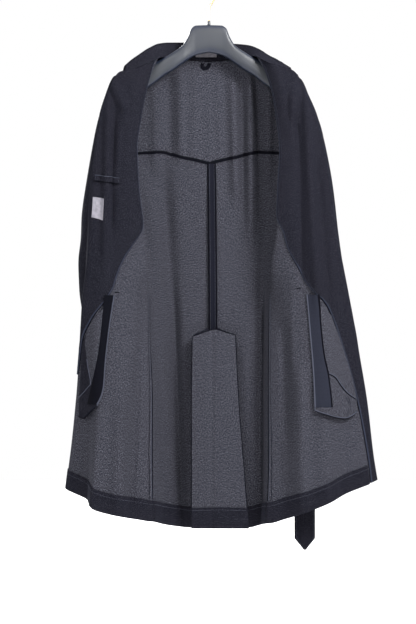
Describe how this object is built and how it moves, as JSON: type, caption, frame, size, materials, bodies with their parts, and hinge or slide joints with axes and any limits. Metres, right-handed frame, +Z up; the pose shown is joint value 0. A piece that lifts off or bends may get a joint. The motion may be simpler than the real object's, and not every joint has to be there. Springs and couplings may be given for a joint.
{
  "type": "trench coat on hanger",
  "caption": "Double-breasted trench coat of double-faced cloth, hung on a broad hanger with both fronts swung open",
  "frame": {"origin": "inside top of the hanger's hook, where it rests on a rail", "axes": "+Z up, +X towards the viewer's right, which is the wearer's left, +Y from the coat's open inside to its outer back"},
  "size_m": [0.6905, 0.1613, 1.266],
  "materials": {
    "cloth_navy": "dark navy face of the double cloth, matt",
    "cloth_grey": "grey melange inside of the double cloth, matt",
    "binding": "dark navy woven binding tape with a slight sheen",
    "label_white": "blank off-white woven label",
    "hanger_plastic": "moulded navy plastic, satin",
    "brass": "bright brass wire",
    "horn": "dark horn-look plastic"
  },
  "bodies": {
    "root": {"back_left": "cloth_grey", "back_right": "cloth_grey", "back_yoke": "cloth_grey", "back_pleat": "cloth_grey", "front_left": "cloth_grey", "front_right": "cloth_grey", "facing_left": "cloth_navy", "facing_right": "cloth_navy", "facing_binding_left": "binding", "facing_binding_right": "binding", "sleeve_left": "cloth_navy", "sleeve_right": "cloth_navy", "collar_stand": "cloth_navy", "collar_leaf": "cloth_navy", "hem_back_left": "cloth_navy", "hem_back_right": "cloth_navy", "hem_front_left": "cloth_navy", "hem_front_right": "cloth_navy", "hem_pleat": "cloth_navy", "tape_centre_back": "binding", "tape_yoke": "binding", "tape_side_left": "binding", "tape_side_right": "binding", "pocket_lower_left": "cloth_grey", "pocket_lower_right": "cloth_grey", "pocket_upper_left": "cloth_grey", "pocket_upper_right": "cloth_grey", "pocket_strip_left": "cloth_grey", "pocket_strip_right": "cloth_grey", "breast_welt": "cloth_navy", "care_label": "label_white", "neck_label": "label_white", "neck_loop": "binding", "belt": "cloth_navy", "belt_loop_left": "cloth_navy", "belt_loop_right": "cloth_navy", "buckle": "horn", "buckle_prong": "brass", "button_1": "horn", "button_2": "horn", "button_3": "horn", "button_4": "horn", "button_5": "horn", "button_6": "horn", "hanger_body": "hanger_plastic", "hanger_ferrule": "hanger_plastic", "hanger_hook": "brass"}
  },
  "joints": []
}
